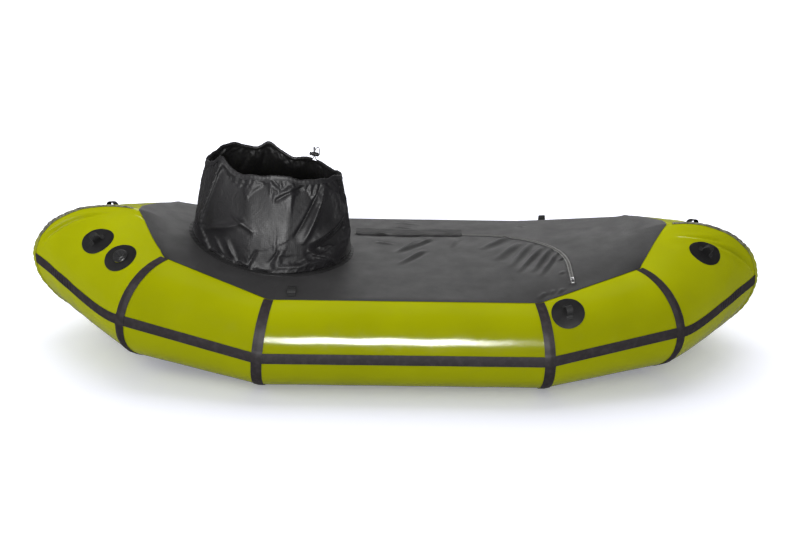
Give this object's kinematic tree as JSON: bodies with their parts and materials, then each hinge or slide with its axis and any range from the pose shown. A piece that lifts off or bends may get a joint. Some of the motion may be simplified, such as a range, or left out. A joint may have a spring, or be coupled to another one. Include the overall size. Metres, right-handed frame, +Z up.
{
  "type": "packraft",
  "caption": "Inflatable decked boat: ring of air tubes with taped seams, floor, spray deck with entry zip, cockpit tunnel, seat and tie loops.",
  "frame": {"origin": "on the ground under the middle of the boat's length and width", "axes": "+X to the bow, +Y to port, +Z up; the boat rests on its floor"},
  "size_m": [2.2701, 0.9234, 0.613],
  "materials": {
    "tube": "lime coated nylon, satin gloss",
    "tape": "dark welded seam tape, semi-matte",
    "deck": "dark grey coated cloth",
    "tunnel": "thin black coated cloth, glossy inside",
    "floor": "heavy black coated cloth",
    "patch": "smooth black patch",
    "webbing": "black woven webbing",
    "plastic": "black moulded plastic",
    "rubber": "soft black rubber",
    "metal": "plain metal",
    "zip": "coated zip tape with a satin sheen",
    "seat": "black coated cloth"
  },
  "bodies": {
    "hull": {"tube_end_stern_port": "tube", "tube_end_stern_starboard": "tube", "tube_quarter_stern_port": "tube", "tube_quarter_stern_starboard": "tube", "tube_middle_port": "tube", "tube_middle_starboard": "tube", "tube_quarter_bow_port": "tube", "tube_quarter_bow_starboard": "tube", "tube_end_bow_port": "tube", "tube_end_bow_starboard": "tube", "equator_tape": "tape", "ring_tape_stern_end_port": "tape", "ring_tape_stern_end_starboard": "tape", "ring_tape_stern_middle_port": "tape", "ring_tape_stern_middle_starboard": "tape", "ring_tape_bow_middle_port": "tape", "ring_tape_bow_middle_starboard": "tape", "ring_tape_bow_end_port": "tape", "ring_tape_bow_end_starboard": "tape", "seam_tape_stern": "tape", "seam_tape_bow": "tape", "tunnel_binding": "tape", "deck_sheet": "deck", "floor_sheet": "floor", "patch_stern_port": "patch", "patch_stern_starboard": "patch", "patch_mid_port": "patch", "patch_mid_starboard": "patch", "patch_bow_port": "patch", "patch_bow_starboard": "patch", "valve_patch": "patch", "loop_stern_port": "webbing", "loop_stern_starboard": "webbing", "loop_mid_port": "webbing", "loop_mid_starboard": "webbing", "loop_bow_port": "webbing", "loop_bow_starboard": "webbing", "deck_tab_port": "webbing", "deck_tab_starboard": "webbing", "tunnel_drawcord": "webbing", "drawcord_loop": "webbing", "valve_flange": "plastic", "tunnel": "tunnel", "tunnel_hem": "tunnel", "zip_tape": "zip", "zip_coil": "zip", "zip_stop": "metal", "seat_cushion": "seat"},
    "valve_body": {"valve_body": "plastic"},
    "valve_cap": {"valve_cap": "plastic"},
    "valve_flap": {"valve_flap": "rubber"},
    "cord_lock": {"cord_lock_body": "plastic", "cord_lock_spring": "metal"},
    "cord_lock_plunger": {"cord_lock_plunger": "plastic"},
    "zip_slider": {"zip_slider": "metal"},
    "zip_pull": {"zip_pull": "webbing"},
    "zip_flap": {"zip_flap": "deck"},
    "backrest": {"backrest": "seat"},
    "seat_valve_stem": {"seat_valve_stem": "plastic"}
  },
  "joints": [
    {"name": "valve_unscrew", "type": "hinge", "parent": "hull", "child": "valve_body", "pos_m": [-0.82044, -0.23053, 0.35371], "axis": [-0.2774, -0.4633, 0.8417], "range_deg": [0, 540]},
    {"name": "valve_cap_hinge", "type": "hinge", "parent": "valve_body", "child": "valve_cap", "pos_m": [-0.81054, -0.25073, 0.3575], "axis": [0.7401, 0.4556, 0.4947], "range_deg": [0, 150]},
    {"name": "valve_flap_lift", "type": "slide", "parent": "valve_body", "child": "valve_flap", "axis": [0.2774, 0.4633, -0.8417], "range_m": [0, 0.003], "stiffness_N_per_m": 40, "springref_m": -0.001},
    {"name": "cord_lock_slide", "type": "slide", "parent": "hull", "child": "cord_lock", "axis": [0, 0, 1], "range_m": [-0.005, 0.008], "deforming": ["drawcord_loop"]},
    {"name": "cord_lock_press", "type": "slide", "parent": "cord_lock", "child": "cord_lock_plunger", "axis": [0.9148, -0.4039, 0], "range_m": [0, 0.0035], "stiffness_N_per_m": 300, "springref_m": -0.002, "deforming": ["cord_lock_spring"]},
    {"name": "zip_slide", "type": "slide", "parent": "hull", "child": "zip_slider", "axis": [0, 0.9946, 0.1043], "range_m": [0, 0.082]},
    {"name": "zip_pull_hinge", "type": "hinge", "parent": "zip_slider", "child": "zip_pull", "pos_m": [0.51336, -0.24489, 0.31259], "axis": [-0.991, 0, -0.1336], "range_deg": [0, 170]},
    {"name": "zip_flap_fold", "type": "hinge", "parent": "hull", "child": "zip_flap", "pos_m": [0.0374, 0.232, 0.2839], "axis": [-1, 0, 0], "range_deg": [0, 110]},
    {"name": "backrest_tip", "type": "hinge", "parent": "hull", "child": "backrest", "pos_m": [-0.5356, 0, 0.108], "axis": [0, 1, 0], "range_deg": [0, 75]},
    {"name": "seat_valve_pull", "type": "slide", "parent": "hull", "child": "seat_valve_stem", "axis": [0, 0, 1], "range_m": [0, 0.005]}
  ]
}
